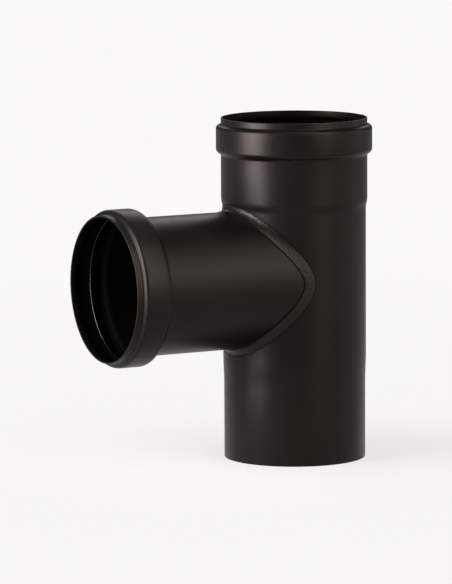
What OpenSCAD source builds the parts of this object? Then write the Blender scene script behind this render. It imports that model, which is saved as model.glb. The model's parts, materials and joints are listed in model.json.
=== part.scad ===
// Single-wall stove pipe tee, 90 degrees, with two beaded sockets and one plain spigot.
// The run stands on +Z with the middle of the spigot's end at the origin, and the branch points along +X.

/* [Pipe] */
// Outside diameter of the spigot, and of the pipe that each socket takes
pipe_od = 80; // [60:0.5:120]
// Sheet thickness of both tubes
wall = 1.0; // [0.8:0.1:1.5]
// Radius that takes the burr off each cut end
edge_round = 0.3; // [0.15:0.05:0.35]

/* [Run] */
// Length of the spigot, which is swaged down to enter a socket
spigot_length = 42; // [30:1:80]
// How much smaller the spigot's radius is than the run tube's
swage_depth = 0.45; // [0.3:0.05:0.8]
// Length of the curve from the spigot up to the run tube
swage_length = 17.5; // [4:0.5:20]
// Length of tube between the swage and the weld
lower_gap = 0.3; // [0.2:0.1:60]
// Length of tube between the saddle's top and the top socket's step, which the weld runs up
upper_gap = 0.2; // [0:0.1:60]

/* [Branch] */
// How much smaller the branch's outer radius is than the run tube's, which lets its saddle close on the run
branch_inset = 1.8; // [1.3:0.1:8]
// Plain length of the branch from the weld to its socket
branch_length = 53.5; // [20:0.5:120]

/* [Sockets] */
// Gap all round between a socket's bore and the pipe in it
socket_clearance = 0.3; // [0.2:0.05:0.6]
// Straight mouth in front of the bead
lip_length = 2.8; // [2:0.1:6]
// Length of the curve from the mouth up to the bead
shoulder_length = 3.4; // [3:0.1:5]
// Height of the bead above the mouth
bead_rise = 2.8; // [2:0.1:3.2]
// Straight length of the bead, which holds the seal
bead_length = 11.2; // [10.5:0.1:16]
// Length of the curve behind the top socket's bead
run_foot_length = 4.2; // [3.2:0.1:6]
// Length of the curve behind the branch socket's bead
branch_foot_length = 5.4; // [5:0.1:9]
// Straight sleeve behind the top socket's bead
neck_length = 23.6; // [10:0.1:60]
// Length of the step from the sleeve down to the run tube
step_length = 6; // [2:0.1:12]

/* [Weld] */
// Reach of the weld along each tube, in the two crotches above and below the branch
crotch_leg = 4.4; // [3:0.1:7]
// Reach of the weld along each tube, at the two sides of the saddle
side_leg = 3.4; // [2:0.1:5]
// Height that pulls the weld's face out over the corner in the crotches, where it stays hollow
crotch_crown = 0.6; // [0.3:0.1:1.5]
// The same at the sides, where the weld stands up as a rib
side_crown = 1.3; // [0.8:0.1:2]
// Height of the small ledge at the weld's edge on the run
run_edge = 0.25; // [0.1:0.05:0.6]
// The same on the branch
branch_edge = 0.35; // [0.1:0.05:0.8]
// Gap between the weld's back and the tubes' faces
weld_gap = 0.07; // [0.05:0.01:0.1]

/* [Seals] */
// Length of a seal along its groove
seal_length = 9.6; // [8:0.2:10]
// Thickness of a seal's band
seal_band = 1.3; // [0.8:0.1:1.6]
// Gap between a seal and the steel behind it
seal_gap = 0.05; // [0.03:0.01:0.1]
// Gap between a seal's lip, pressed back, and the pipe in the socket
lip_gap = 0.05; // [0.04:0.01:0.15]
// Length of the lip's rounded edge
lip_edge = 0.8; // [0.5:0.1:1.2]

/* [Hidden] */

paint_black = [0.11, 0.105, 0.10];
silicone_black = [0.05, 0.05, 0.055];

$fn = 96;
arc_steps = 6;        // facets of a bend drawn in a tube's profile
edge_steps = 3;       // facets of a deburred edge
weld_stations = 96;   // sections round the weld
crown_steps = 6;      // facets across the weld's face
back_steps = 5;       // facets across each half of the weld's back
past = 1;             // how far a cutting body runs past what it cuts

spigot_r = pipe_od / 2;
run_r = spigot_r + swage_depth;
branch_r = run_r - branch_inset;
socket_r = spigot_r + socket_clearance + wall;
bead_r = socket_r + bead_rise;

bead_start = lip_length + shoulder_length;
bead_end = bead_start + bead_length;
top_socket_depth = bead_end + run_foot_length + neck_length + step_length;
branch_socket_depth = bead_end + branch_foot_length;

branch_z = spigot_length + swage_length + lower_gap + crotch_leg + branch_r;
run_height = branch_z + branch_r + upper_gap + top_socket_depth;
branch_reach = run_r + crotch_leg + branch_length + branch_socket_depth;

// The bend angle and the middle radius of a step made by two equal bends, for its length and its height
function bend_angle(length, rise) = 2 * atan(abs(rise) / length);
function bend_radius(length, rise) = length / (2 * sin(bend_angle(length, rise)));

// One face of a step in a tube's wall, as points [along, radius]. It starts at s0 on radius r0 and rises by rise.
// depth is how far the face lies inside the tube's outer face.
function step_face(s0, r0, length, rise, depth) =
    let (turn = bend_angle(length, rise),
         up = sign(rise),
         mid = bend_radius(length, rise),
         half = wall / 2 - depth,
         first = mid - up * half,
         second = mid + up * half)
    concat(
        [for (i = [0 : arc_steps]) let (a = turn * i / arc_steps)
            [s0 + first * sin(a), r0 - depth + up * first * (1 - cos(a))]],
        [for (i = [arc_steps - 1 : -1 : 0]) let (a = turn * i / arc_steps)
            [s0 + length - second * sin(a), r0 + rise - depth - up * second * (1 - cos(a))]]);

// A quarter round on the wall's end at s, from one face to the other. facing is -1 where the end faces down the list.
function end_round(s, r_outer, facing) =
    let (e = edge_round)
    concat(
        [for (i = [0 : edge_steps]) let (a = 90 * i / edge_steps)
            [s + facing * (-e + e * sin(a)), r_outer - e + e * cos(a)]],
        [for (i = [edge_steps : -1 : 0]) let (a = 90 * i / edge_steps)
            [s + facing * (-e + e * sin(a)), r_outer - wall + e - e * cos(a)]]);

// Both faces of the bead at depth under the outer face, from the mouth at s = 0 to the curve behind the bead
function bead_face(foot_length, foot_r, depth) = concat(
    step_face(lip_length, socket_r, shoulder_length, bead_rise, depth),
    step_face(bead_end, bead_r, foot_length, foot_r - bead_r, depth));

function reversed(points) = [for (i = [len(points) - 1 : -1 : 0]) points[i]];

// Outline of a tube's wall, with s measured from the socket's mouth, from its two faces and its end at far
function wall_outline(outer, inner, far) = concat(
    reversed(end_round(0, socket_r, -1)),
    outer,
    far,
    reversed(inner));

// The run's outline, from the top socket's mouth down to the spigot's end
function run_face(depth) = concat(
    bead_face(run_foot_length, socket_r, depth),
    step_face(bead_end + run_foot_length + neck_length, socket_r, step_length, run_r - socket_r, depth),
    step_face(run_height - spigot_length - swage_length, run_r, swage_length, -swage_depth, depth));
run_outline = wall_outline(run_face(0), run_face(wall), end_round(run_height, spigot_r, 1));

// The branch's outline, from its mouth to the run's axis, where the run's bore cuts it short
function branch_face(depth) = bead_face(branch_foot_length, branch_r, depth);
branch_outline = wall_outline(branch_face(0), branch_face(wall),
    [[branch_reach, branch_r], [branch_reach, branch_r - wall]]);

// A seal's outline, with s measured from the socket's mouth: a band in the groove and one lip half way along it
groove_r = bead_r - wall;
seal_r = groove_r - seal_gap;
seal_mid = (bead_start + bead_end) / 2;
lip_r = spigot_r + lip_gap;
lip_root = 2.2;       // half the width of the lip where it leaves the band
lip_lean = 0.5;       // how far the lip leans into the socket, the way the pipe goes in
seal_bevel = 0.5;     // bevel on the band's two ends
seal_outline = let (a = seal_mid - seal_length / 2, b = seal_mid + seal_length / 2, r = seal_r - seal_band) [
    [a, seal_r],
    [b, seal_r],
    [b, r + seal_bevel],
    [b - seal_bevel, r],
    [seal_mid + lip_root, r],
    for (i = [0 : arc_steps]) let (t = 180 * i / arc_steps)
        [seal_mid + lip_lean + lip_edge / 2 * cos(t), lip_r + lip_edge / 2 * (1 - sin(t))],
    [seal_mid - lip_root, r],
    [a + seal_bevel, r],
    [a, r + seal_bevel]];

// The line where the two outer surfaces meet, at the angle a round the branch
function meet(a) =
    let (y = branch_r * cos(a))
    [sqrt(run_r * run_r - y * y), y, branch_r * sin(a)];
// The line's direction there, and each tube's outward direction
function unit(v) = v / norm(v);
function along(a) =
    let (p = meet(a))
    unit([branch_r * branch_r * cos(a) * sin(a) / p[0], -branch_r * sin(a), branch_r * cos(a)]);
function run_normal(a) = let (p = meet(a)) [p[0], p[1], 0] / run_r;
function branch_normal(a) = [0, cos(a), sin(a)];

// The run's outer radius at a height over the foot of the top socket's step
function step_radius(height) =
    let (rise = socket_r - run_r,
         turn = bend_angle(step_length, rise),
         foot = bend_radius(step_length, rise) - wall / 2,
         head = foot + wall,
         left = step_length - height)
    height <= 0 ? run_r
    : height <= foot * sin(turn) ? run_r + foot - sqrt(foot * foot - height * height)
    : left > 0 ? socket_r - head + sqrt(head * head - left * left)
    : socket_r;

// A point of the run's surface, reached from the meeting line by going a distance away from the branch.
// lift raises it off the surface.
function on_run(a, distance, lift) =
    let (p = meet(a),
         away = cross(along(a), run_normal(a)),
         turn = atan2(p[1], p[0]),
         round = [-sin(turn), cos(turn), 0],
         turned = turn + distance * (away * round) / run_r * 180 / PI,
         z = p[2] + distance * away[2],
         r = step_radius(z - branch_r - upper_gap) + lift)
    [r * cos(turned), r * sin(turned), z];
// The same on the branch's surface, going away from the run
function on_branch(a, distance, lift) =
    let (p = meet(a),
         away = cross(branch_normal(a), along(a)),
         round = [0, -sin(a), cos(a)],
         turned = a + distance * (away * round) / branch_r * 180 / PI)
    [p[0] + distance * away[0], (branch_r + lift) * cos(turned), (branch_r + lift) * sin(turned)];

// A size of the weld at the angle a, between its value in the crotches and its value at the sides
function blend(a, crotch, side) = side + (crotch - side) * pow(sin(a), 2);

// One section of the weld: its face, a curve from one edge to the other, and its back, which lies along both tubes
function weld_section(a) =
    let (leg = blend(a, crotch_leg, side_leg),
         crown = blend(a, crotch_crown, side_crown),
         start = on_run(a, leg, weld_gap + run_edge),
         end = on_branch(a, leg, weld_gap + branch_edge),
         lift = unit(run_normal(a) + branch_normal(a)),
         corner = meet(a) + crown * lift)
    concat(
        [for (i = [0 : crown_steps]) let (t = i / crown_steps)
            (1 - t) * (1 - t) * start + 2 * t * (1 - t) * corner + t * t * end],
        [for (k = [back_steps : -1 : 1]) on_branch(a, leg * k / back_steps, weld_gap)],
        [meet(a) + weld_gap * lift],
        [for (k = [1 : back_steps]) on_run(a, leg * k / back_steps, weld_gap)]);

module tube(outline) {
    rotate_extrude() polygon([for (p = outline) [p[1], p[0]]]);
}

module run_tube() {
    color(paint_black)
        difference() {
            translate([0, 0, run_height]) mirror([0, 0, 1]) tube(run_outline);
            translate([0, 0, branch_z]) rotate([0, 90, 0]) cylinder(r = branch_r - wall, h = run_r + past);
        }
}

module branch_tube() {
    color(paint_black)
        difference() {
            translate([branch_reach, 0, branch_z]) rotate([0, -90, 0]) tube(branch_outline);
            cylinder(r = run_r, h = run_height);
        }
}

module branch_weld() {
    sections = [for (i = [0 : weld_stations - 1]) weld_section(360 * i / weld_stations)];
    count = len(sections[0]);
    points = [for (s = sections, p = s) p];
    faces = [for (i = [0 : weld_stations - 1], j = [0 : count - 1])
        let (a = i * count, b = (i + 1) % weld_stations * count, k = (j + 1) % count)
        each [[a + j, b + j, b + k], [a + j, b + k, a + k]]];
    color(paint_black) translate([0, 0, branch_z]) polyhedron(points, faces);
}

module seal() {
    color(silicone_black) tube(seal_outline);
}

module top_seal() {
    translate([0, 0, run_height]) mirror([0, 0, 1]) seal();
}

module branch_seal() {
    translate([branch_reach, 0, branch_z]) rotate([0, -90, 0]) seal();
}

run_tube();
branch_tube();
branch_weld();
top_seal();
branch_seal();
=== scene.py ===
"""A welded stove pipe tee in satin black paint, on a pale studio floor.

The tubes are drawn as sheet metal: the line of a sheet's outer face, its bends rounded, spun, given the
sheet's thickness and deburred. The weld is a spun ring laid along the saddle where the tubes meet.
"""
import json
from math import atan, atan2, cos, pi, radians, sin, sqrt, tan

import bmesh
import bpy
from bpy.props import FloatProperty, FloatVectorProperty, IntProperty, PointerProperty
from mathutils import Matrix, Vector


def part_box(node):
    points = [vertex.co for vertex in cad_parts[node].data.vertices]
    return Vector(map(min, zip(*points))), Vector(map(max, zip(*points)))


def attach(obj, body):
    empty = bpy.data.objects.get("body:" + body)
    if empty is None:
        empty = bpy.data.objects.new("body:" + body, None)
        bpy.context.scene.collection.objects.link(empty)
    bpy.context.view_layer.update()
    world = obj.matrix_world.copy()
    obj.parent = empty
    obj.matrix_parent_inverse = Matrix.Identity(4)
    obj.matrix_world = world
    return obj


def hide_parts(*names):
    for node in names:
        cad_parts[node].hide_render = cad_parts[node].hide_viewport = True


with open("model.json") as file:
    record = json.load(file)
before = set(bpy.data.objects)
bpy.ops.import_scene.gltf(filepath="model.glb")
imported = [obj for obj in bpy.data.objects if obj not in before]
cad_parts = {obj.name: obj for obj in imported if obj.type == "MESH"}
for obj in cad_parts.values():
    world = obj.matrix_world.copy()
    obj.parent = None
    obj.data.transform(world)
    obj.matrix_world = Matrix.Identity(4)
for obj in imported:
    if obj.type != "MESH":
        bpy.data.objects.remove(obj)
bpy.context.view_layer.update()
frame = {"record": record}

bl_info = {
    "name": "Stove Pipe Tee",
    "version": (1, 0, 0),
    "blender": (4, 5, 0),
    "location": "View3D > Sidebar > Stove Pipe",
    "description": "Models a welded single-wall stove pipe tee with beaded sockets and lip seals",
    "category": "Add Mesh",
}

# What the frame gives: radii from the mounts, places from the nodes' boxes
MOUNTS = {m["name"]: m for m in frame["record"]["mounts"]}
SPIGOT_RADIUS = MOUNTS["spigot"]["dims"]["r_mm"] / 1000
BORE_RADIUS = MOUNTS["top_socket"]["dims"]["r_mm"] / 1000
RUN_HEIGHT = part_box("run_tube")[1][2]
BEAD_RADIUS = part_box("run_tube")[1][1]
BRANCH_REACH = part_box("branch_tube")[1][0]
BRANCH_HEIGHT = MOUNTS["branch_socket"]["pos_m"][2]

MM = 0.001
ROOT = "root"
UP = Vector((0, 0, 1))

IMAGE_HEIGHT = 584               # pixels, the photograph's longer side
SENSOR_WIDTH = 36                # mm, and Blender lays it along that side
FAR_CLIP = 100                   # m

TOUCH = 0.001 * MM               # a point this close to a plane counts as in it
MERGE = 0.002 * MM               # points of a line that are closer than this become one
SQUARE = 1                       # radians, and an edge that turns more is the corner of a cut end
SHARP = radians(40)              # edges that turn more than this are shaded sharp
HOLE_STEPS = 256                 # facets round the tool that cuts a hole
BAND_STEPS, LIP_STEPS = 3, 5     # facets in the bevels of a seal's band and of its lip

SATIN, INNER_SHADE, MOUTH = range(3)    # a tube's paints, in the order of its materials; the inner one is a darker, duller copy that paints shade deep inside
FACE, CORNER_SHADE = range(2)          # the weld's paint, and the dull paint that paints shade along its edges
BAND, LIP_EDGE = range(2)        # a seal's finishes

OFF_WHITE = (0.956, 0.947, 0.930, 1)     # the ground and the floor's glow, to the camera
FLOOR_IN_PAINT = (1.0, 0.95, 0.90, 1)    # the same glow, as the paint mirrors it
ROOM_LIGHT = (1.0, 0.95, 0.89, 1)
PAINT_TINT = (1.0, 0.925, 0.81, 1)       # of the paint's reflections
FLOOR_RADIUS, FLOOR_STEPS = 12, 96       # m, and facets round it


def length(name, description, millimetres, least=0.0, most=1000.0):
    """A size in metres, written in millimetres."""
    return FloatProperty(name=name, description=description, default=millimetres * MM, min=least * MM,
                         max=most * MM, subtype="DISTANCE", unit="LENGTH", precision=5)


def colour(name, description, value):
    """A colour, in linear values."""
    return FloatVectorProperty(name=name, description=description, default=value, size=3, min=0, max=1,
                               subtype="COLOR")


class TeeSizes(bpy.types.PropertyGroup):
    spigot_radius: length("Spigot radius", "Outer radius of the spigot", SPIGOT_RADIUS / MM)
    run_radius: length("Run radius", "Outer radius of the run tube above the spigot", 40.45)
    bore_radius: length("Bore radius", "Inner radius of both sockets", BORE_RADIUS / MM)
    branch_radius: length("Branch radius", "Outer radius of the branch tube", 38.65)
    bead_radius: length("Bead radius", "Outer radius of the sockets' beads", BEAD_RADIUS / MM)
    wall: length("Sheet", "Thickness of both tubes' sheet", 1.0)
    deburr: length("Deburr", "Radius on each cut end of the sheet", 0.3)
    run_height: length("Run height", "From the spigot's end to the top socket's mouth", RUN_HEIGHT / MM)
    branch_height: length("Branch height", "From the spigot's end to the branch's axis", BRANCH_HEIGHT / MM)
    branch_reach: length("Branch reach", "From the run's axis to the branch's mouth", BRANCH_REACH / MM)


class SocketSizes(bpy.types.PropertyGroup):
    lip: length("Lip", "Straight mouth in front of the bead", 2.8)
    shoulder: length("Shoulder", "Curve from the mouth up to the bead", 3.4)
    bead: length("Bead", "Straight length of the bead", 11.2)
    run_foot: length("Run foot", "Curve behind the top socket's bead", 4.2)
    branch_foot: length("Branch foot", "Curve behind the branch socket's bead", 5.4)
    neck: length("Neck", "Sleeve behind the top socket's bead", 23.6)
    step: length("Step", "Curve from the sleeve down to the run tube", 6)
    spigot: length("Spigot", "Length of the spigot", 42)
    swage: length("Swage", "Curve from the run tube down to the spigot", 17.5)


class WeldSizes(bpy.types.PropertyGroup):
    crotch_leg: length("Crotch leg", "Reach along each tube, above and below the branch", 4.4)
    side_leg: length("Side leg", "Reach along each tube, at the saddle's sides", 3.4)
    crotch_crown: length("Crotch crown", "How far the face is pulled out in the crotches", 0.6)
    side_crown: length("Side crown", "How far the face is pulled out at the sides", 1.3)
    run_edge: length("Run edge", "Height of the small ledge at the weld's edge on the run", 0.25)
    branch_edge: length("Branch edge", "The same on the branch", 0.35)
    gap: length("Gap", "Gap between the weld's back and the tubes", 0.07)


class SealSizes(bpy.types.PropertyGroup):
    width: length("Width", "Length of the seal along its groove", 9.6)
    band: length("Band", "Thickness of the seal's band", 1.3)
    gap: length("Gap", "Gap between the seal and the steel behind it", 0.05)
    lip_gap: length("Lip gap", "Gap between the lip and a pipe in the socket", 0.05)
    lip_edge: length("Lip edge", "Length of the lip's rounded edge", 0.8)
    lip_root: length("Lip root", "Half the width of the lip at the band", 2.2)
    lip_lean: length("Lip lean", "How far the lip leans into the socket", 0.5)
    bevel: length("Bevel", "Bevel on the band's ends", 0.5)


class TeeFinish(bpy.types.PropertyGroup):
    paint: colour("Paint", "Satin black paint", (0.0024, 0.0022, 0.0017))
    paint_thin: colour("Thin paint", "The same paint where it lies thinner", (0.0036, 0.0033, 0.0026))
    # The inner colour is painted shade: darker than the paint, for the tubes' insides beyond the groove
    inner_shade: colour("Inner paint", "Matte black inside the tubes", (0.0008, 0.0008, 0.0006))
    silicone: colour("Silicone", "Black silicone of the seals", (0.0005, 0.0005, 0.0005))
    floor: colour("Floor", "Pale studio floor", (0.58, 0.572, 0.555))
    roughness: FloatProperty(name="Roughness", description="Middle roughness of the paint", default=0.37,
                             min=0, max=1, subtype="FACTOR")


class TeeCamera(bpy.types.PropertyGroup):
    azimuth: FloatProperty(name="Azimuth", description="Angle round the tee; 0 looks along +Y",
                           default=radians(151.42), subtype="ANGLE", unit="ROTATION")
    pitch: FloatProperty(name="Pitch", description="How far the camera looks down", default=radians(7.52),
                         subtype="ANGLE", unit="ROTATION")
    roll: FloatProperty(name="Roll", description="Turn of the camera about its own line of sight",
                        default=radians(-0.27), subtype="ANGLE", unit="ROTATION")
    distance: length("Distance", "From the camera to the point it looks at", 2600, most=5000)
    aside: length("Aside", "Point looked at, to the right of the run's axis", -38.72, least=-500)
    height: length("Height", "Point looked at, above the floor", 93.70)
    focal: FloatProperty(name="Focal length", description="In pixels of the photograph", default=4594.8,
                         min=1)


class TeeDetail(bpy.types.PropertyGroup):
    round_steps: IntProperty(name="Round steps", description="Facets round a tube", default=192,
                             min=24, max=360)
    bend_steps: IntProperty(name="Bend steps", description="Facets in a bend of the sheet", default=8, min=2)
    rim_steps: IntProperty(name="Rim steps", description="Facets in a deburred edge", default=3, min=1)
    face_steps: IntProperty(name="Face steps", description="Facets across the weld's face", default=12,
                            min=3)
    back_steps: IntProperty(name="Back steps", description="Facets across half the weld's back", default=5,
                            min=2)


# Shaders


def new_material(name):
    """An empty node material and its output node."""
    material = bpy.data.materials.new(name)
    material.use_nodes = True
    material.node_tree.nodes.clear()
    return material, add_node(material.node_tree, "ShaderNodeOutputMaterial")


def plug(tree, socket, value):
    """Sets an input socket to a value, or links another node's socket to it."""
    if isinstance(value, bpy.types.NodeSocket):
        tree.links.new(value, socket)
    else:
        socket.default_value = value


def add_node(tree, kind, settings=None, **inputs):
    """A node with its settings, and its inputs set to values or linked to sockets."""
    made = tree.nodes.new(kind)
    for key, value in (settings or {}).items():
        setattr(made, key, value)
    for key, value in inputs.items():
        plug(tree, made.inputs[key.replace("_", " ")], value)
    return made


def combine(tree, operation, first, second):
    """The result of a Math node on two sockets, or on a socket and a number."""
    made = add_node(tree, "ShaderNodeMath", {"operation": operation})
    plug(tree, made.inputs[0], first)
    plug(tree, made.inputs[1], second)
    return made.outputs[0]


def blend_colours(tree, factor, first, second):
    """A colour that goes from first to second as the factor goes from 0 to 1."""
    made = add_node(tree, "ShaderNodeMix", {"data_type": "RGBA"}, Factor=factor)
    made.inputs[6].default_value = first
    made.inputs[7].default_value = second
    return made.outputs[2]


def blend_shaders(tree, factor, first, second, out):
    """Sends first to the output where the factor is 0, and second where it is 1."""
    made = add_node(tree, "ShaderNodeMixShader")
    for socket, value in zip(made.inputs, (factor, first.outputs[0], second.outputs[0])):
        tree.links.new(value, socket)
    tree.links.new(made.outputs[0], out.inputs["Surface"])


def noise(tree, place, size, detail=2.0, roughness=0.5):
    """Noise whose lumps are about size across, in metres, over the place given. Returns its value socket."""
    return add_node(tree, "ShaderNodeTexNoise", Vector=place, Scale=1 / size, Detail=detail,
                    Roughness=roughness).outputs["Fac"]


def spread(tree, value, low, high):
    """A noise value, which stays mostly between 0.3 and 0.7, spread from low to high."""
    made = add_node(tree, "ShaderNodeMapRange", Value=value)
    for key, number in (("From Min", 0.3), ("From Max", 0.7), ("To Min", low), ("To Max", high)):
        made.inputs[key].default_value = number
    return made.outputs["Result"]


def fade(tree, value, start, end, low, high):
    """A value that goes smoothly from low to high while the one given goes from start to end."""
    made = add_node(tree, "ShaderNodeMapRange", {"interpolation_type": "SMOOTHSTEP"}, Value=value)
    for key, number in (("From Min", start), ("From Max", end), ("To Min", low), ("To Max", high)):
        made.inputs[key].default_value = number
    return made.outputs["Result"]


def bump(tree, height, depth, under=None):
    """A bump of that depth in metres, on top of the one under it."""
    made = add_node(tree, "ShaderNodeBump", Height=height, Distance=depth, Strength=1.0)
    if under is not None:
        tree.links.new(under, made.inputs["Normal"])
    return made.outputs["Normal"]


def paint(name, base, thin, roughness, gloss, grain_depth, wave_depth, wave_size=6 * MM):
    """Sprayed heat-resistant paint: a fine grain, soft waves, and slow changes of shade and gloss."""
    uneven = 0.035         # how far the roughness goes either way
    material, out = new_material(name)
    tree = material.node_tree
    place = add_node(tree, "ShaderNodeTexCoord").outputs["Object"]
    cloud = noise(tree, place, 30 * MM, detail=3)
    grain = noise(tree, place, 0.45 * MM, detail=2)
    wave = noise(tree, place, wave_size, detail=2)
    shade = blend_colours(tree, spread(tree, cloud, 0, 1), (*base, 1), (*thin, 1))
    blotch = noise(tree, place, 2.5 * MM, detail=4, roughness=0.6)
    normal = bump(tree, wave, wave_depth)
    normal = bump(tree, grain, grain_depth, under=normal)
    shader = add_node(tree, "ShaderNodeBsdfPrincipled", Normal=normal,
                      Roughness=spread(tree, blotch, roughness - uneven, roughness + uneven))
    tree.links.new(shade, shader.inputs["Base Color"])
    shader.inputs["Specular IOR Level"].default_value = gloss
    shader.inputs["Specular Tint"].default_value = PAINT_TINT
    tree.links.new(shader.outputs["BSDF"], out.inputs["Surface"])
    return material


def silicone(name, base, roughness, gloss):
    """Black silicone with a fine moulded grain and slow changes of shade and gloss."""
    uneven = 0.04          # how far the roughness goes either way
    paler = 1.5            # times as bright, where it is dusty
    material, out = new_material(name)
    tree = material.node_tree
    place = add_node(tree, "ShaderNodeTexCoord").outputs["Object"]
    grain = noise(tree, place, 0.3 * MM, detail=3)
    dust = noise(tree, place, 5 * MM, detail=4, roughness=0.7)
    dusty = (*(channel * paler for channel in base), 1)
    shade = blend_colours(tree, spread(tree, dust, 0, 1), (*base, 1), dusty)
    shader = add_node(tree, "ShaderNodeBsdfPrincipled", Normal=bump(tree, grain, 0.01 * MM),
                      Roughness=spread(tree, dust, roughness - uneven, roughness + uneven))
    tree.links.new(shade, shader.inputs["Base Color"])
    shader.inputs["Specular IOR Level"].default_value = gloss
    tree.links.new(shader.outputs["BSDF"], out.inputs["Surface"])
    return material


# Sheet metal


def step_corners(start, radius, span, rise, wall):
    """The two corners of a step in the sheet's outer face, each with the length that its bend takes off it.

    The sheet's middle line goes through two equal arcs, over span and up by rise. The outer face lies half a
    sheet outside that line, so one of its arcs is tighter and the other wider.
    """
    half_turn = atan(abs(rise) / span)
    middle = span / (2 * sin(2 * half_turn))
    side = wall / 2 if rise > 0 else -wall / 2
    first = (middle - side) * tan(half_turn)
    second = (middle + side) * tan(half_turn)
    return [(start + first, radius, first), (start + span - second, radius + rise, second)]


def socket_line(tee, socket, foot, behind):
    """The outer face of a socket as corners (along, radius, bend), from its mouth to the radius behind it."""
    outer = tee.bore_radius + tee.wall
    bead_start = socket.lip + socket.shoulder
    return ([(0, outer, 0)]
            + step_corners(socket.lip, outer, socket.shoulder, tee.bead_radius - outer, tee.wall)
            + step_corners(bead_start + socket.bead, tee.bead_radius, foot, behind - tee.bead_radius, tee.wall))


def spin_round(bm, steps):
    """Spins the bmesh's line once round the Z axis."""
    bmesh.ops.spin(bm, geom=bm.verts[:] + bm.edges[:], cent=(0, 0, 0), axis=(0, 0, 1), angle=2 * pi,
                   steps=steps, use_merge=True)


def deburr_ends(bm, axis, ends, radius, detail):
    """Rounds the corners where the sheet is cut off square to the axis, at the places given along it."""
    rims = [edge for edge in bm.edges if edge.calc_face_angle(0) > SQUARE
            and any(all(abs(getattr(vert.co, axis) - end) < TOUCH for vert in edge.verts) for end in ends)]
    bmesh.ops.bevel(bm, geom=rims, offset=radius, affect="EDGES", segments=detail.rim_steps, profile=0.5,
                    material=-1)


def new_object(name, bm):
    """Makes the bmesh an object in the scene."""
    mesh = bpy.data.meshes.new(name)
    bm.to_mesh(mesh)
    bm.free()
    made = bpy.data.objects.new(name, mesh)
    bpy.context.scene.collection.objects.link(made)
    return made


def spun_sheet(line, wall, detail):
    """A bmesh of a tube whose outer face follows line, round the Z axis with the line's start at Z 0 and its
    end below. The sheet's thickness goes inwards."""
    almost = 0.9995        # of a bend's length, so that two bends that meet don't overlap
    bm = bmesh.new()
    corners = [bm.verts.new((radius, 0, -along)) for along, radius, _ in line]
    for a, b in zip(corners, corners[1:]):
        bm.edges.new((a, b))
    for corner, (_, _, bend) in zip(corners, line):
        if bend:
            bmesh.ops.bevel(bm, geom=[corner], offset=bend * almost, offset_type="OFFSET", affect="VERTICES",
                            segments=detail.bend_steps, profile=0.5, material=-1)
    bmesh.ops.remove_doubles(bm, verts=bm.verts, dist=MERGE)
    spin_round(bm, detail.round_steps)
    point_outwards(bm)
    bmesh.ops.solidify(bm, geom=bm.faces[:], thickness=wall)
    return bm


def point_outwards(bm):
    """Turns every face of a tube that has no thickness yet away from the Z axis."""
    bmesh.ops.recalc_face_normals(bm, faces=bm.faces[:])
    face = max(bm.faces, key=lambda f: f.calc_area())
    middle = face.calc_center_median()
    if face.normal.dot(Vector((middle.x, middle.y, 0))) < 0:
        bmesh.ops.reverse_faces(bm, faces=bm.faces[:])


def finish_piece(name, bm, materials, nodes):
    """Makes the bmesh a piece that rides on the tee and stands for its CAD nodes."""
    piece = new_object(name, bm)
    mesh = piece.data
    mesh.polygons.foreach_set("use_smooth", [True] * len(mesh.polygons))
    mesh.set_sharp_from_angle(angle=SHARP)
    for material in materials:
        mesh.materials.append(material)
    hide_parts(*nodes)
    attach(piece, ROOT)
    return piece


def cut(piece, radius, start, end, axis_turn):
    """Cuts a round hole of that radius through the piece, from start to end along the turned Z axis."""
    bm = bmesh.new()
    bmesh.ops.create_cone(bm, cap_ends=True, segments=HOLE_STEPS, radius1=radius, radius2=radius,
                          depth=end - start)
    bmesh.ops.translate(bm, verts=bm.verts, vec=(0, 0, (start + end) / 2))
    bmesh.ops.transform(bm, matrix=axis_turn, verts=bm.verts)
    cutter = new_object("cutter", bm)
    modifier = piece.modifiers.new("hole", "BOOLEAN")
    modifier.operation = "DIFFERENCE"
    modifier.solver = "EXACT"
    modifier.object = cutter
    done = bpy.data.meshes.new_from_object(piece.evaluated_get(bpy.context.evaluated_depsgraph_get()))
    piece.modifiers.clear()
    old = piece.data
    piece.data = done
    bpy.data.meshes.remove(old)
    bpy.data.objects.remove(cutter)
    done.name = piece.name
    done.set_sharp_from_angle(angle=SHARP)


def coat(mesh, depth, out):
    """Gives each face of a tube its paint: satin outside, inside the mouth's own as far as the groove, and
    beyond the groove a darker, duller copy that is painted shade.

    depth says how far beyond the groove's start a point lies, and out points away from the tube's axis there.
    """
    for polygon in mesh.polygons:
        inside = polygon.normal.dot(out(polygon.center)) < 0
        polygon.material_index = (INNER_SHADE if depth(polygon.center) > 0 else MOUTH) if inside else SATIN


def paints(context):
    """The tubes' three paints, in the order SATIN, INNER_SHADE, MOUTH, made once; the inner one is painted
    shade.
    """
    finish = context.scene.tee_finish
    outer = bpy.data.materials.get("satin_black_paint") or paint(
        "satin_black_paint", finish.paint, finish.paint_thin, finish.roughness, gloss=0.15,
        grain_depth=0.006 * MM, wave_depth=0.010 * MM)
    # Painted shade: the insides beyond the groove get a darker, almost gloss-free copy of the paint
    inner = bpy.data.materials.get("inner_painted_shade") or paint(
        "inner_painted_shade", finish.inner_shade, finish.inner_shade, 0.64, gloss=0.01,
        grain_depth=0.010 * MM, wave_depth=0.015 * MM)
    mouth = bpy.data.materials.get("mouth_black_paint") or paint(
        "mouth_black_paint", finish.paint, finish.paint, 0.45, gloss=0.07,
        grain_depth=0.006 * MM, wave_depth=0.010 * MM)
    return outer, inner, mouth


# The weld


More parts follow.
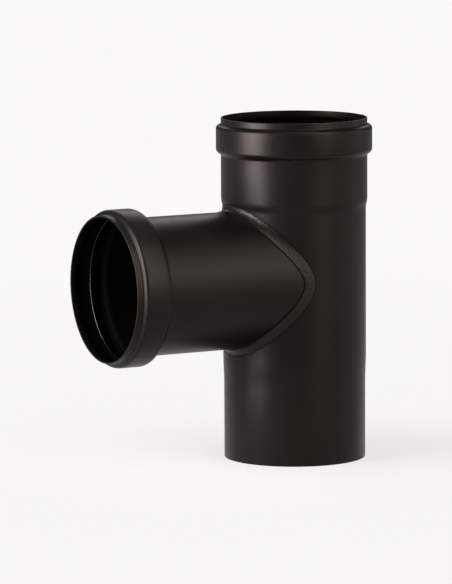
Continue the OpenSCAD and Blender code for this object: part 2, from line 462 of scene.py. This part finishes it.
def step_radius(tee, socket, z):
    """The run's outer radius at the height z over the branch's axis: two arcs from the tube to the sleeve."""
    sleeve = tee.bore_radius + tee.wall
    sleeve_foot = (tee.run_height - tee.branch_height - socket.lip - socket.shoulder - socket.bead
                   - socket.run_foot - socket.neck)
    left = sleeve_foot - z
    turn = 2 * atan((sleeve - tee.run_radius) / socket.step)
    middle = socket.step / (2 * sin(turn))
    low, high = middle - tee.wall / 2, middle + tee.wall / 2
    if left <= 0:
        return sleeve
    if left >= socket.step:
        return tee.run_radius
    if left < high * sin(turn):
        return sleeve - high + sqrt(high ** 2 - left ** 2)
    return tee.run_radius + low - sqrt(low ** 2 - (socket.step - left) ** 2)


def saddle(tee, turn):
    """Where the two outer faces meet at the angle turn round the branch, from the branch's height."""
    y = tee.branch_radius * cos(turn)
    return Vector((sqrt(tee.run_radius ** 2 - y ** 2), y, tee.branch_radius * sin(turn)))


def saddle_frame(tee, turn):
    """The saddle's point, its direction, and the outward directions of the run and of the branch there."""
    point = saddle(tee, turn)
    along = Vector((tee.branch_radius ** 2 * cos(turn) * sin(turn) / point.x,
                    -tee.branch_radius * sin(turn), tee.branch_radius * cos(turn))).normalized()
    return point, along, Vector((point.x, point.y, 0)) / tee.run_radius, Vector((0, cos(turn), sin(turn)))


def on_run(tee, socket, turn, distance, lift):
    """A point of the run's face, that distance from the saddle and away from the branch, lifted off it."""
    point, along, out, _ = saddle_frame(tee, turn)
    away = along.cross(out)
    at = atan2(point.y, point.x)
    at += distance * away.dot(Vector((-sin(at), cos(at), 0))) / tee.run_radius
    z = point.z + distance * away.z
    radius = step_radius(tee, socket, z) + lift
    return Vector((radius * cos(at), radius * sin(at), z))


def on_branch(tee, turn, distance, lift):
    """The same on the branch's face, going away from the run."""
    point, along, _, out = saddle_frame(tee, turn)
    away = out.cross(along)
    at = turn + distance * away.dot(Vector((0, -sin(turn), cos(turn)))) / tee.branch_radius
    radius = tee.branch_radius + lift
    return Vector((point.x + distance * away.x, radius * cos(at), radius * sin(at)))


def weld_section(tee, socket, weld, detail, turn):
    """The weld's section at the angle turn: its face from edge to edge, then its back along both tubes."""
    share = sin(turn) ** 2
    leg = weld.side_leg + (weld.crotch_leg - weld.side_leg) * share
    crown = weld.side_crown + (weld.crotch_crown - weld.side_crown) * share
    point, _, run_out, branch_out = saddle_frame(tee, turn)
    lift = (run_out + branch_out).normalized()
    start = on_run(tee, socket, turn, leg, weld.gap + weld.run_edge)
    end = on_branch(tee, turn, leg, weld.gap + weld.branch_edge)
    corner = point + crown * lift
    face = []
    for i in range(detail.face_steps + 1):
        t = i / detail.face_steps
        face.append((1 - t) ** 2 * start + 2 * t * (1 - t) * corner + t ** 2 * end)
    steps = detail.back_steps
    back = [on_branch(tee, turn, leg * k / steps, weld.gap) for k in range(steps, 0, -1)]
    back.append(point + weld.gap * lift)
    back += [on_run(tee, socket, turn, leg * k / steps, weld.gap) for k in range(1, steps + 1)]
    return face + back


# Operators


class RunTubeOperator(bpy.types.Operator):
    """Model the run: plain spigot, step, neck and beaded top socket, with the branch's hole"""
    bl_idname = "stove_pipe.run_tube"
    bl_label = "Run Tube"

    def execute(self, context):
        scene = context.scene
        tee, socket, detail = scene.tee_sizes, scene.socket_sizes, scene.tee_detail
        neck_radius = tee.bore_radius + tee.wall
        neck_end = socket.lip + socket.shoulder + socket.bead + socket.run_foot + socket.neck
        line = (socket_line(tee, socket, socket.run_foot, neck_radius)
                + step_corners(neck_end, neck_radius, socket.step, tee.run_radius - neck_radius, tee.wall)
                + step_corners(tee.run_height - socket.spigot - socket.swage, tee.run_radius, socket.swage,
                               tee.spigot_radius - tee.run_radius, tee.wall)
                + [(tee.run_height, tee.spigot_radius, 0)])
        bm = spun_sheet(line, tee.wall, detail)
        deburr_ends(bm, "z", (0, -tee.run_height), tee.deburr, detail)
        bmesh.ops.translate(bm, verts=bm.verts, vec=(0, 0, tee.run_height))
        piece = finish_piece("run_tube_sheet", bm, paints(context), ["run_tube"])
        turn = Matrix.Translation((0, 0, tee.branch_height)) @ Matrix.Rotation(radians(90), 4, "Y")
        past_wall = tee.run_radius * 1.1
        cut(piece, tee.branch_radius - tee.wall, 0, past_wall, turn)
        groove = tee.run_height - socket.lip - socket.shoulder
        coat(piece.data, lambda at: groove - at.z, lambda at: Vector((at.x, at.y, 0)))
        return {"FINISHED"}


class BranchTubeOperator(bpy.types.Operator):
    """Model the branch: beaded socket and plain tube, coped to the run's outer face"""
    bl_idname = "stove_pipe.branch_tube"
    bl_label = "Branch Tube"

    def execute(self, context):
        scene = context.scene
        tee, socket, detail = scene.tee_sizes, scene.socket_sizes, scene.tee_detail
        line = (socket_line(tee, socket, socket.branch_foot, tee.branch_radius)
                + [(tee.branch_reach, tee.branch_radius, 0)])
        bm = spun_sheet(line, tee.wall, detail)
        turn = Matrix.Rotation(radians(90), 4, "Y")
        bmesh.ops.transform(bm, matrix=turn, verts=bm.verts)
        bmesh.ops.translate(bm, verts=bm.verts, vec=(tee.branch_reach, 0, 0))
        # The inner end lies flat on the run's axis so far, and is coped to the run's outer face
        for vert in bm.verts:
            if abs(vert.co.x) < TOUCH:
                vert.co.x = sqrt(tee.run_radius ** 2 - vert.co.y ** 2)
        deburr_ends(bm, "x", (tee.branch_reach,), tee.deburr, detail)
        bmesh.ops.translate(bm, verts=bm.verts, vec=(0, 0, tee.branch_height))
        piece = finish_piece("branch_tube_sheet", bm, paints(context), ["branch_tube"])
        groove = tee.branch_reach - socket.lip - socket.shoulder
        coat(piece.data, lambda at: groove - at.x, lambda at: Vector((0, at.y, at.z - tee.branch_height)))
        return {"FINISHED"}


class WeldOperator(bpy.types.Operator):
    """Model the dressed fillet of weld along the saddle"""
    bl_idname = "stove_pipe.weld"
    bl_label = "Weld"

    def execute(self, context):
        scene = context.scene
        tee, weld, detail = scene.tee_sizes, scene.weld_sizes, scene.tee_detail
        steps = detail.round_steps
        sections = [weld_section(tee, scene.socket_sizes, weld, detail, 2 * pi * i / steps)
                    for i in range(steps)]
        # A plain ring first, which gives the faces. Each of its points then goes to its place in the weld
        bm = bmesh.new()
        mark = bm.verts.layers.int.new("section_point")
        ring = bmesh.ops.create_circle(bm, cap_ends=False, segments=len(sections[0]), radius=1)["verts"]
        for k, vert in enumerate(ring):
            vert[mark] = k
        bmesh.ops.rotate(bm, verts=ring, cent=(0, 0, 0), matrix=Matrix.Rotation(radians(90), 3, "X"))
        bmesh.ops.translate(bm, verts=ring, vec=(2, 0, 0))
        spin_round(bm, steps)
        for vert in bm.verts:
            station = round(atan2(vert.co.y, vert.co.x) / (2 * pi) * steps) % steps
            vert.co = sections[station][vert[mark]]
        bmesh.ops.recalc_face_normals(bm, faces=bm.faces[:])
        if bm.calc_volume(signed=True) < 0:
            bmesh.ops.reverse_faces(bm, faces=bm.faces[:])
        bmesh.ops.translate(bm, verts=bm.verts, vec=(0, 0, tee.branch_height))
        # The paint is duller and less glossy in the corners where the weld's face ends on the tubes: painted
        # shade, a dark line along each edge
        ends = ({0, 1}, {detail.face_steps - 1, detail.face_steps})
        for face in bm.faces:
            face.material_index = CORNER_SHADE if {vert[mark] for vert in face.verts} in ends else FACE
        finish = scene.tee_finish
        skin = paint("weld_paint", finish.paint, finish.paint_thin, finish.roughness, gloss=0.22,
                     grain_depth=0.018 * MM, wave_depth=0.28 * MM, wave_size=1.1 * MM)
        # Painted shade: a dull, low-gloss copy of the paint for the weld's two edges
        corner = paint("weld_corner_painted_shade", finish.paint, finish.paint, 0.55, gloss=0.07,
                       grain_depth=0.018 * MM, wave_depth=0.10 * MM, wave_size=1.1 * MM)
        finish_piece("branch_weld_bead", bm, [skin, corner], ["branch_weld"])
        return {"FINISHED"}


class SealsOperator(bpy.types.Operator):
    """Model the two lip seals in the sockets' grooves"""
    bl_idname = "stove_pipe.seals"
    bl_label = "Seals"

    def execute(self, context):
        tee = context.scene.tee_sizes
        base = context.scene.tee_finish.silicone
        skins = [silicone("seal_silicone", base, roughness=0.70, gloss=0.01),
                 silicone("seal_lip_edge", base, roughness=0.24, gloss=0.42)]
        top = self.seal(context)
        bmesh.ops.translate(top, verts=top.verts, vec=(0, 0, tee.run_height))
        finish_piece("top_lip_seal", top, skins, ["top_seal"])
        side = self.seal(context)
        bmesh.ops.transform(side, matrix=Matrix.Rotation(radians(90), 4, "Y"), verts=side.verts)
        bmesh.ops.translate(side, verts=side.verts, vec=(tee.branch_reach, 0, tee.branch_height))
        finish_piece("branch_lip_seal", side, skins, ["branch_seal"])
        return {"FINISHED"}

    def seal(self, context):
        """A bmesh of one seal round the Z axis, for a mouth at Z 0 that faces up."""
        scene = context.scene
        tee, socket, seal, detail = scene.tee_sizes, scene.socket_sizes, scene.seal_sizes, scene.tee_detail
        outer = tee.bead_radius - tee.wall - seal.gap
        inner = outer - seal.band
        middle = socket.lip + socket.shoulder + socket.bead / 2
        front, rear = middle - seal.width / 2, middle + seal.width / 2
        tip = tee.spigot_radius + seal.lip_gap
        lip = middle + seal.lip_lean
        half = seal.lip_edge / 2
        outline = [(front, outer), (rear, outer), (rear, inner), (middle + seal.lip_root, inner),
                   (lip + half, tip + half), (lip + half, tip), (lip - half, tip), (lip - half, tip + half),
                   (middle - seal.lip_root, inner), (front, inner)]
        bm = bmesh.new()
        corners = [bm.verts.new((radius, 0, -along)) for along, radius in outline]
        for a, b in zip(corners, corners[1:] + corners[:1]):
            bm.edges.new((a, b))
        bmesh.ops.bevel(bm, geom=[corners[2], corners[9]], offset=seal.bevel, affect="VERTICES",
                        segments=BAND_STEPS, profile=0.5, material=-1)
        almost_half = half * 0.99        # so that the lip's two round corners don't meet in one point
        bmesh.ops.bevel(bm, geom=[corners[5], corners[6]], offset=almost_half, affect="VERTICES",
                        segments=LIP_STEPS, profile=0.5, material=-1)
        spin_round(bm, detail.round_steps)
        bmesh.ops.recalc_face_normals(bm, faces=bm.faces[:])
        # The lip's edge is glossier than the rest
        for face in bm.faces:
            face.material_index = LIP_EDGE if face.calc_center_median().xy.length < tip + half else BAND
        return bm


class StageOperator(bpy.types.Operator):
    """Lay the floor, hang the lights and set the camera at the photograph's view"""
    bl_idname = "stove_pipe.stage"
    bl_label = "Stage"

    def execute(self, context):
        self.camera(context)
        self.floor(context)
        self.world(context)
        self.lights(context)
        context.scene.view_settings.view_transform = "Standard"
        return {"FINISHED"}

    def camera(self, context):
        """Looks from the photograph's place, with its focal length and its slight roll."""
        place = context.scene.tee_camera
        data = bpy.data.cameras.new("camera")
        data.sensor_width = SENSOR_WIDTH
        data.lens = place.focal * SENSOR_WIDTH / IMAGE_HEIGHT
        data.clip_end = FAR_CLIP
        camera = bpy.data.objects.new("camera", data)
        context.scene.collection.objects.link(camera)
        turn, pitch = place.azimuth, place.pitch
        right = Vector((cos(turn), sin(turn), 0))
        back = Vector((sin(turn) * cos(pitch), -cos(turn) * cos(pitch), sin(pitch)))
        camera.location = right * place.aside + UP * place.height + back * place.distance
        aim = (Matrix.Rotation(turn, 3, "Z") @ Matrix.Rotation(radians(90) - pitch, 3, "X")
               @ Matrix.Rotation(place.roll, 3, "Z"))
        camera.rotation_euler = aim.to_euler()
        context.scene.camera = camera

    def floor(self, context):
        """A pale round floor that fades into the ground behind it and keeps the shadow at the foot."""
        material, out = new_material("pale_floor")
        tree = material.node_tree
        place = add_node(tree, "ShaderNodeTexCoord").outputs["Object"]
        measure = add_node(tree, "ShaderNodeVectorMath", {"operation": "LENGTH"})
        tree.links.new(place, measure.inputs[0])
        far = measure.outputs["Value"]
        cloth = add_node(tree, "ShaderNodeBsdfDiffuse", Color=(*context.scene.tee_finish.floor, 1),
                         Normal=bump(tree, noise(tree, place, 50 * MM), 0.1 * MM))
        seen = add_node(tree, "ShaderNodeLightPath").outputs
        by_camera, in_paint = seen["Is Camera Ray"], seen["Is Glossy Ray"]
        # The glow, dimmer and a little warmer where the paint mirrors it
        dim = combine(tree, "MULTIPLY", fade(tree, far, start=0.25, end=1.2, low=0.14, high=0.60), in_paint)
        bright = combine(tree, "SUBTRACT", fade(tree, far, start=0.15, end=0.9, low=0.97, high=1.0), dim)
        glow = add_node(tree, "ShaderNodeEmission", Strength=bright,
                        Color=blend_colours(tree, in_paint, OFF_WHITE, FLOOR_IN_PAINT))
        # The shadow shows round the foot, and only faintly in the paint
        shown = combine(tree, "MULTIPLY", by_camera,
                        fade(tree, far, start=0.05, end=0.20, low=0.74, high=1.0))
        mirrored = combine(tree, "MULTIPLY", in_paint, 0.95)
        blend_shaders(tree, combine(tree, "MAXIMUM", shown, mirrored), cloth, glow, out)
        bm = bmesh.new()
        bmesh.ops.create_circle(bm, cap_ends=True, segments=FLOOR_STEPS, radius=FLOOR_RADIUS)
        floor = new_object("floor", bm)
        floor.data.materials.append(material)

    def world(self, context):
        """Soft light from the room, and the off-white ground that the camera sees."""
        world = bpy.data.worlds.new("studio")
        world.use_nodes = True
        tree = world.node_tree
        tree.nodes.clear()
        out = add_node(tree, "ShaderNodeOutputWorld")
        room = add_node(tree, "ShaderNodeBackground", Color=ROOM_LIGHT, Strength=0.16)
        ground = add_node(tree, "ShaderNodeBackground", Color=OFF_WHITE, Strength=1.0)
        by_camera = add_node(tree, "ShaderNodeLightPath").outputs["Is Camera Ray"]
        blend_shaders(tree, by_camera, room, ground, out)
        context.scene.world = world

    def lights(self, context):
        """Softboxes round the tee, all aimed at its middle."""
        tee, place = context.scene.tee_sizes, context.scene.tee_camera
        middle = Vector((0, 0, tee.run_height / 2))
        # Name, degrees to the left of the camera, degrees up, metres away, width and height in metres,
        # watts, colour
        for name, left, up, away, wide, high, power, tint in (
                ("left_box", 62, 14, 0.6, 0.30, 0.48, 10.2, (1.0, 0.90, 0.98)),
                ("right_box", -45, 37, 1.8, 1.1, 1.8, 27.5, (1.0, 0.94, 0.90)),
                ("right_low", -42, 2, 1.8, 0.8, 0.28, 2.6, (1.0, 0.93, 0.86)),
                ("right_panel", -80, 16, 1.0, 1.6, 0.7, 4.0, (1.0, 0.95, 0.88)),
                ("top_box", 0, 88, 1.6, 1.4, 1.4, 3.7, (1.0, 0.97, 0.94)),
                ("back_box", 180, 31, 2.2, 1.8, 0.6, 8, (1.0, 0.97, 0.94))):
            data = bpy.data.lights.new(name, "AREA")
            data.shape = "RECTANGLE"
            data.size, data.size_y = wide, high
            data.energy = power
            data.color = tint
            lamp = bpy.data.objects.new(name, data)
            lamp.visible_camera = False
            context.scene.collection.objects.link(lamp)
            turn, rise = place.azimuth - radians(left), radians(up)
            way = Vector((sin(turn) * cos(rise), -cos(turn) * cos(rise), sin(rise)))
            lamp.location = middle + way * away
            lamp.rotation_euler = way.to_track_quat("Z", "Y").to_euler()


class TeePanel(bpy.types.Panel):
    """Sizes, finish and pieces of the tee"""
    bl_idname = "VIEW3D_PT_stove_pipe_tee"
    bl_label = "Stove Pipe Tee"
    bl_space_type = "VIEW_3D"
    bl_region_type = "UI"
    bl_category = "Stove Pipe"

    def draw(self, context):
        for group in GROUPS:
            box = self.layout.box()
            box.label(text=group)
            for key in GROUPS[group].__annotations__:
                box.prop(getattr(context.scene, group), key)
        for operator in OPERATORS:
            self.layout.operator(operator.bl_idname)


GROUPS = {"tee_sizes": TeeSizes, "socket_sizes": SocketSizes, "weld_sizes": WeldSizes, "seal_sizes": SealSizes,
          "tee_finish": TeeFinish, "tee_camera": TeeCamera, "tee_detail": TeeDetail}
OPERATORS = (RunTubeOperator, BranchTubeOperator, WeldOperator, SealsOperator, StageOperator)
CLASSES = (*GROUPS.values(), *OPERATORS, TeePanel)


def register():
    for cls in CLASSES:
        bpy.utils.register_class(cls)
    for name, cls in GROUPS.items():
        setattr(bpy.types.Scene, name, PointerProperty(type=cls))


def unregister():
    for name in GROUPS:
        delattr(bpy.types.Scene, name)
    for cls in reversed(CLASSES):
        bpy.utils.unregister_class(cls)


def main():
    register()
    bpy.ops.stove_pipe.run_tube()
    bpy.ops.stove_pipe.branch_tube()
    bpy.ops.stove_pipe.weld()
    bpy.ops.stove_pipe.seals()
    bpy.ops.stove_pipe.stage()


if __name__ == "__main__":
    main()
